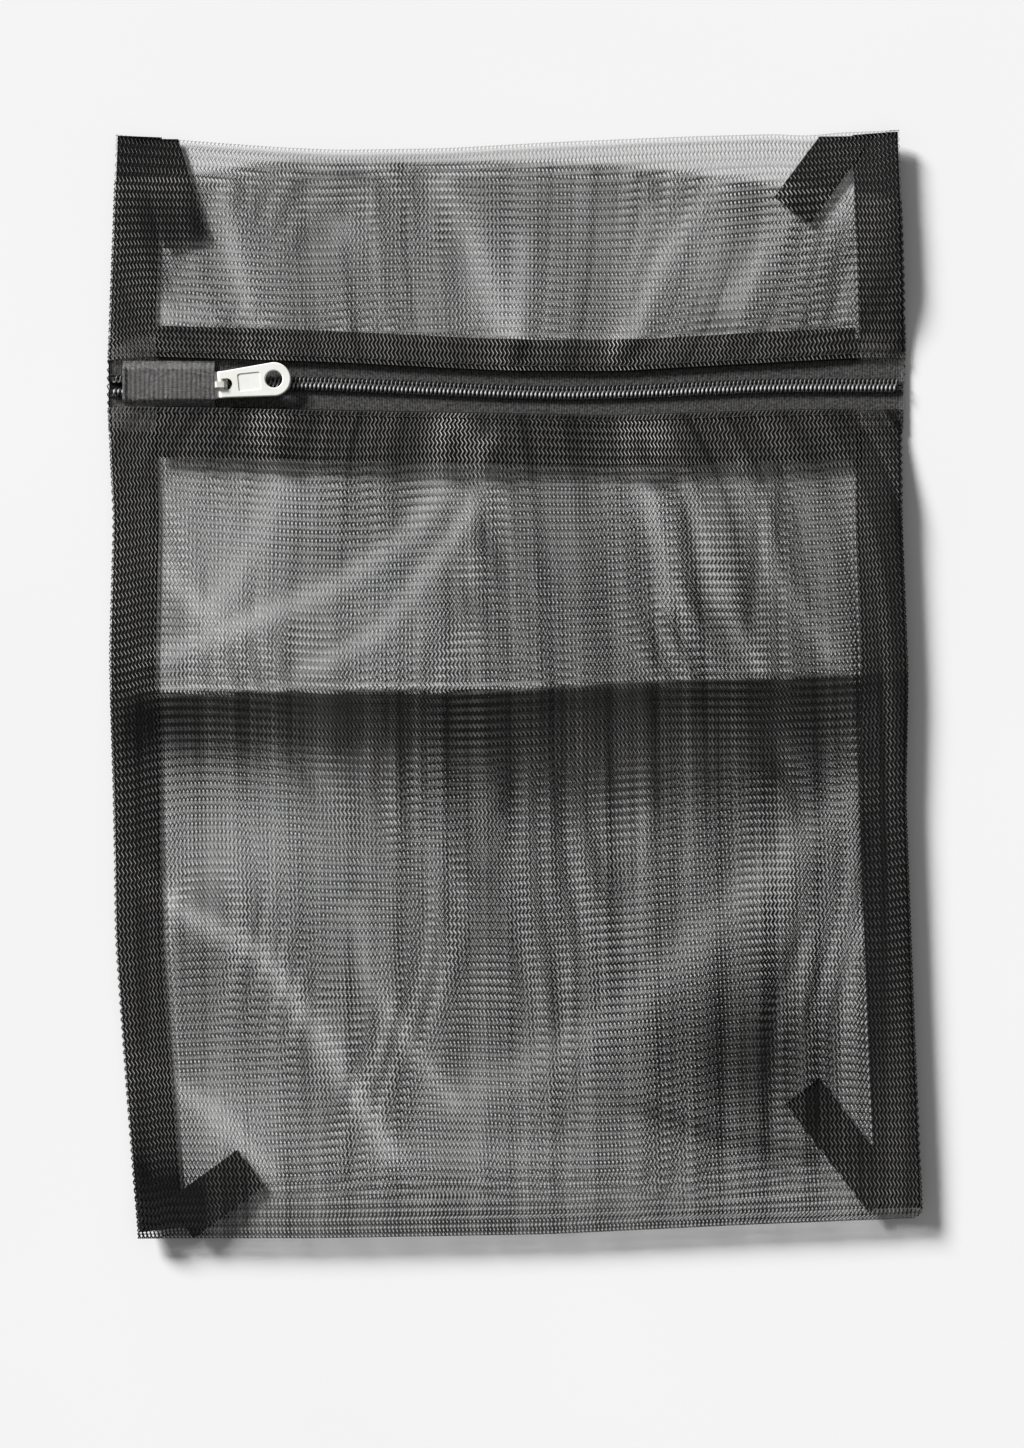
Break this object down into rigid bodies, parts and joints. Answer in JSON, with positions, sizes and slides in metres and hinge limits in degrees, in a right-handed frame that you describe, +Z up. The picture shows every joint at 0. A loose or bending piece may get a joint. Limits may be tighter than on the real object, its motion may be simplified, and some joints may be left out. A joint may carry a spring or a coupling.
{
  "type": "laundry bag",
  "caption": "Flat rectangular mesh laundry bag with a zip across its front, an elastic pocket for the slider and a pull tab with a hole.",
  "frame": {"origin": "under the middle of the bag, on the surface it lies on", "axes": "+X along the zip, from the parked slider towards the other seam; +Y towards the top fold; +Z up, away from the back panel"},
  "size_m": [0.3056, 0.4136, 0.0083],
  "materials": {
    "mesh": "black polyester warp-knit mesh, slightly shiny yarn, open zigzag holes",
    "binding": "black woven polyester binding tape, matt",
    "zip_tape": "dark grey woven zip tape, fine twill",
    "zip_coil": "black nylon monofilament, glossy",
    "thread": "black polyester sewing thread",
    "elastic": "dark grey ribbed elastic",
    "slider_paint": "ivory lacquer on a moulded slider",
    "puller_plastic": "ivory moulded plastic, satin"
  },
  "bodies": {
    "bag": {"mesh_back": "mesh", "mesh_front_lower": "mesh", "mesh_front_upper": "mesh", "binding_left": "binding", "binding_right": "binding", "binding_zip_upper": "binding", "binding_zip_lower": "binding", "zip_tape_upper": "zip_tape", "zip_tape_lower": "zip_tape", "coil_upper": "zip_coil", "coil_lower": "zip_coil", "coil_cord_upper": "thread", "coil_cord_lower": "thread", "coil_thread_upper": "thread", "coil_thread_lower": "thread", "garage_elastic": "elastic", "stitch_left": "thread", "stitch_right": "thread", "stitch_zip_upper": "thread", "stitch_zip_lower": "thread", "stitch_garage": "thread"},
    "slider": {"slider_body": "slider_paint"},
    "puller": {"puller_tab": "puller_plastic"}
  },
  "joints": [
    {"name": "slider_slide", "type": "slide", "parent": "bag", "child": "slider", "axis": [1, 0, 0], "range_m": [0, 0.234], "deforming": ["coil_upper", "coil_lower", "coil_cord_upper", "coil_cord_lower", "coil_thread_upper", "coil_thread_lower", "zip_tape_upper", "zip_tape_lower"]},
    {"name": "puller_hinge", "type": "hinge", "parent": "slider", "child": "puller", "pos_m": [-0.1092, 0.1118, 0.00605], "axis": [0.1045, -0.9945, 0], "range_deg": [0, 150]}
  ]
}
